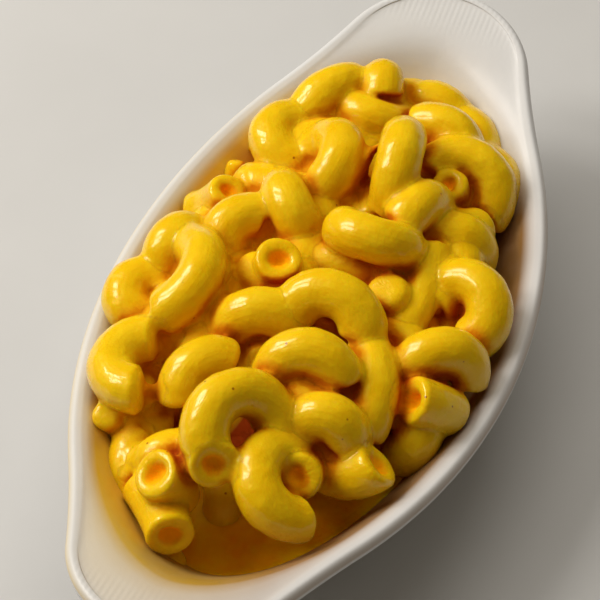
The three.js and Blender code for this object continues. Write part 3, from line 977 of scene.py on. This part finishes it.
GLAZE_GREYER, GLAZE_WHITER = (0.65, 0.645, 0.64, 1), (0.69, 0.69, 0.685, 1)
GLAZE_ROUGHNESS = (0.40, 0.52)
GLAZE_PATCHES, GLAZE_SMEARS = (30, 0.25), (12, 0.25)
GLAZE_RELIEF = (6, 0.12)
FLUTE_PITCH = 1.3 * MM
FLUTE_DEPTH = 0.015 * MM
FLUTES_FROM, FLUTES_FULL = 82 * MM, 87 * MM  # along the dish
FLAT_BAND = (0.85, 0.93)  # how level the tab is where the flutes start and are full
INSIDE_BAND = (0.1, 0.3)  # how far up the inner wall faces
FILM_FULL, FILM_GONE = 27.4 * MM, 30.2 * MM  # how high the thin film of sauce stands on the side walls
FILM_SIDES, FILM_FAR_END = 42 * MM, 58 * MM  # along the dish: the far end is nearly clean
FILM_LEFT = 0.12  # of it at the far end
FILM_THINNEST = 0.8
FILM_PATCHES = (9, 0.4)
# The film's colour where the light falls on it, and its colour with painted shade on the right side, in the
# heap's shadow.
FILM_LIT_GOLD, FILM_SHADED_BROWN = (0.72, 0.46, 0.0, 1), (0.30, 0.13, 0.0, 1)
FILM_SHADE_TURN = 20 * MM  # either side of the middle, from the film's painted shade on the right side to its lit gold on the left


def glaze():
    """White glaze with fine flutes on the tabs and a thin film of sauce on the inner walls, painted darker
    and browner with shade on the right side.
    """
    material, tree, shader = new_material("white_glaze")
    place = add(tree, "ShaderNodeTexCoord")
    at = add(tree, "ShaderNodeSeparateXYZ", {"Vector": place.outputs["Object"]})
    faces = add(tree, "ShaderNodeNewGeometry")
    facing = add(tree, "ShaderNodeSeparateXYZ", {"Vector": faces.outputs["Normal"]})
    clean = blend(tree, patches(tree, *GLAZE_PATCHES), GLAZE_GREYER, GLAZE_WHITER)
    # the height less the rim's rise towards the tips
    level = add(tree, "ShaderNodeMath", {
        0: product(tree, at.outputs["X"], at.outputs["X"]),
        1: -TIP_RISE / (DISH_LENGTH / 2) ** 2,
        2: at.outputs["Z"],
    }, operation="MULTIPLY_ADD")
    film = product(
        tree, spread(tree, facing.outputs["Z"], *INSIDE_BAND),
        spread(tree, level.outputs[0], FILM_FULL, FILM_GONE, 1, 0),
        spread(tree, at.outputs["X"], FILM_SIDES, FILM_FAR_END, 1, FILM_LEFT),
        spread(tree, patches(tree, *FILM_PATCHES), 0, 1, FILM_THINNEST, 1),
    )
    # painted shade: the film darkens to brown towards the right side
    film_lit_and_shaded = blend(tree, spread(tree, at.outputs["Y"], -FILM_SHADE_TURN, FILM_SHADE_TURN), FILM_SHADED_BROWN, FILM_LIT_GOLD)
    tree.links.new(blend(tree, film, clean, film_lit_and_shaded), shader.inputs["Base Color"])
    smeared = spread(tree, patches(tree, *GLAZE_SMEARS), 0, 1, *GLAZE_ROUGHNESS)
    tree.links.new(smeared, shader.inputs["Roughness"])
    turn = product(tree, at.outputs["Y"], 2 * math.pi / FLUTE_PITCH)
    wave = add(tree, "ShaderNodeMath", {0: turn}, operation="SINE")
    from_middle = add(tree, "ShaderNodeMath", {0: at.outputs["X"]}, operation="ABSOLUTE")
    flutes = product(
        tree, wave.outputs[0],
        spread(tree, from_middle.outputs[0], FLUTES_FROM, FLUTES_FULL),
        spread(tree, facing.outputs["Z"], *FLAT_BAND),
    )
    ribbed = add(tree, "ShaderNodeBump", {
        "Height": flutes, "Distance": FLUTE_DEPTH, "Normal": relief(tree, *GLAZE_RELIEF),
    })
    tree.links.new(ribbed.outputs["Normal"], shader.inputs["Normal"])
    set_evenly(shader, {"Coat Weight": 0.15, "Coat Roughness": 0.25})
    return material


# ---------------------------------------------------------------- floor and lights

FLOOR_SIZE = 4
FLOOR_DARKER, FLOOR_LIGHTER = (0.56, 0.555, 0.545, 1), (0.60, 0.595, 0.585, 1)
FLOOR_PATCHES = (60, 0.3)


def make_floor():
    deselect_all()
    bpy.ops.mesh.primitive_plane_add(size=FLOOR_SIZE)
    floor = bpy.context.object
    floor.name = floor.data.name = "floor"
    material, tree, shader = new_material("floor")
    colour = blend(tree, patches(tree, *FLOOR_PATCHES), FLOOR_DARKER, FLOOR_LIGHTER)
    tree.links.new(colour, shader.inputs["Base Color"])
    set_evenly(shader, {"Roughness": 0.7})
    dress(floor, material)


LIGHTS_AIM = Vector((0, 0, 0.03))
# Heading and elevation in degrees, distance in metres.
WINDOW_AT = (92, 42, 0.85)
WINDOW_POWER = 3.05
WINDOW_COLOUR = (1.0, 0.965, 0.91)
PANE_SIZE = (0.21, 0.40)
PANE_APART = 0.29
SOFT_AT = (25, 60, 0.75)
SOFT_POWER = 2.8
SOFT_COLOUR = (1.0, 0.96, 0.89)
SOFT_SIZE = (0.7, 0.7)
ROOM_COLOUR = (1.0, 0.88, 0.70, 1)
ROOM_STRENGTH = 0.17


def area_light(name, at, size, power, colour, aside=0.0):
    """A light that shines on the object's middle, or on a point moved aside with it."""
    heading, elevation, distance = at
    data = bpy.data.lights.new(name, "AREA")
    data.shape = "RECTANGLE"
    data.size, data.size_y = size
    data.energy = power
    data.color = colour
    light = bpy.data.objects.new(name, data)
    bpy.context.scene.collection.objects.link(light)
    a, e = math.radians(heading), math.radians(elevation)
    away = Vector((math.cos(a) * math.cos(e), math.sin(a) * math.cos(e), math.sin(e)))
    sideways = Vector((-math.sin(a), math.cos(a), 0))
    light.location = LIGHTS_AIM + away * distance + sideways * aside
    light.rotation_mode = "QUATERNION"
    light.rotation_quaternion = (-away).to_track_quat("-Z", "Y")
    return light


def make_lights():
    """Two panes of a window behind the left side, a broad soft light and a dim warm room."""
    for name, side in (("window_pane_near", 0.5), ("window_pane_far", -0.5)):
        area_light(name, WINDOW_AT, PANE_SIZE, WINDOW_POWER, WINDOW_COLOUR, side * PANE_APART)
    soft_top = area_light("soft_top", SOFT_AT, SOFT_SIZE, SOFT_POWER, SOFT_COLOUR)
    soft_top.visible_glossy = False
    world = bpy.data.worlds.new("studio")
    bpy.context.scene.world = world
    world.use_nodes = True
    background = world.node_tree.nodes["Background"]
    background.inputs["Color"].default_value = ROOM_COLOUR
    background.inputs["Strength"].default_value = ROOM_STRENGTH
    world.cycles_visibility.glossy = False


# ---------------------------------------------------------------- the whole

bpy.context.scene.view_settings.view_transform = "Standard"

dish = make_dish()
dress(dish, glaze())
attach(dish, "root")
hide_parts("dish")

pool = make_pool()
dress(pool, sauce())
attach(pool, "root")
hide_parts("cheese_sauce")

heap = make_heap()
dress(heap, sauce_coat())
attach(heap, "root")
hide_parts("macaroni")

make_floor()
make_lights()
